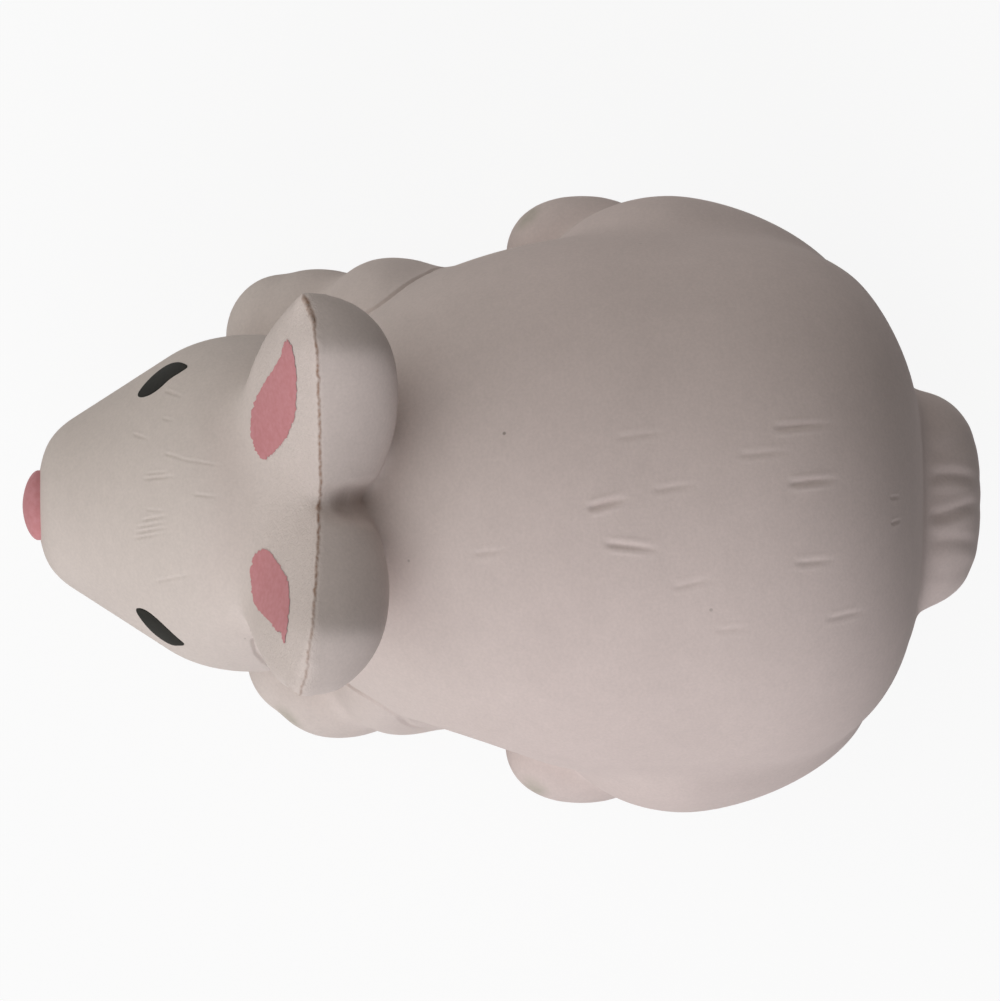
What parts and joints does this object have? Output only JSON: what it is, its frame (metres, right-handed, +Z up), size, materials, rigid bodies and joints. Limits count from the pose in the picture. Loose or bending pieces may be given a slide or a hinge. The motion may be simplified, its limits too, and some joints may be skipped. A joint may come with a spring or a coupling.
{
  "type": "rabbit stress toy",
  "caption": "Crouching rabbit stress toy in soft off-white foam, with broad splayed ears, pink painted ear linings and nose, and dark painted eyes.",
  "frame": {"origin": "centre of the bounding box in plan, on the flat underside", "axes": "+Z up, nose towards -Y, tail towards +Y, the rabbit's left side towards +X"},
  "size_m": [0.06, 0.092, 0.0527],
  "materials": {
    "foam": "matte",
    "pink_paint": "matte",
    "dark_paint": "satin"
  },
  "bodies": {
    "torso": {"torso": "foam", "left_foreleg": "foam", "right_foreleg": "foam", "left_forepaw": "foam", "right_forepaw": "foam"},
    "head": {"head": "foam", "nose": "pink_paint", "left_eye": "dark_paint", "right_eye": "dark_paint"},
    "left_ear": {"left_ear": "foam", "left_ear_lining": "pink_paint"},
    "right_ear": {"right_ear": "foam", "right_ear_lining": "pink_paint"},
    "left_flank": {"left_haunch": "foam", "left_hind_foot": "foam"},
    "right_flank": {"right_haunch": "foam", "right_hind_foot": "foam"},
    "tail": {"tail": "foam"}
  },
  "joints": [
    {"name": "head_nod", "type": "hinge", "parent": "torso", "child": "head", "pos_m": [0, -0.0235, 0.0255], "axis": [1, 0, 0], "range_deg": [-6, 8], "stiffness_Nm_per_rad": 0.1},
    {"name": "left_ear_bend", "type": "hinge", "parent": "head", "child": "left_ear", "pos_m": [0, -0.0165, 0.038], "axis": [1, 0, 0], "range_deg": [-20, 20], "stiffness_Nm_per_rad": 0.01},
    {"name": "right_ear_bend", "type": "hinge", "parent": "head", "child": "right_ear", "pos_m": [0, -0.0165, 0.038], "axis": [1, 0, 0], "range_deg": [-20, 20], "stiffness_Nm_per_rad": 0.01},
    {"name": "left_squeeze", "type": "slide", "parent": "torso", "child": "left_flank", "axis": [-1, 0, 0], "range_m": [0, 0.007], "stiffness_N_per_m": 300, "deforming": ["torso"]},
    {"name": "right_squeeze", "type": "slide", "parent": "torso", "child": "right_flank", "axis": [1, 0, 0], "range_m": [0, 0.007], "stiffness_N_per_m": 300, "deforming": ["torso"]},
    {"name": "tail_press", "type": "slide", "parent": "torso", "child": "tail", "axis": [0, -1, 0], "range_m": [0, 0.003], "stiffness_N_per_m": 100, "deforming": ["torso"]}
  ],
  "couplings": [
    {"joint": "right_squeeze", "follows": "left_squeeze", "ratio": 1}
  ]
}
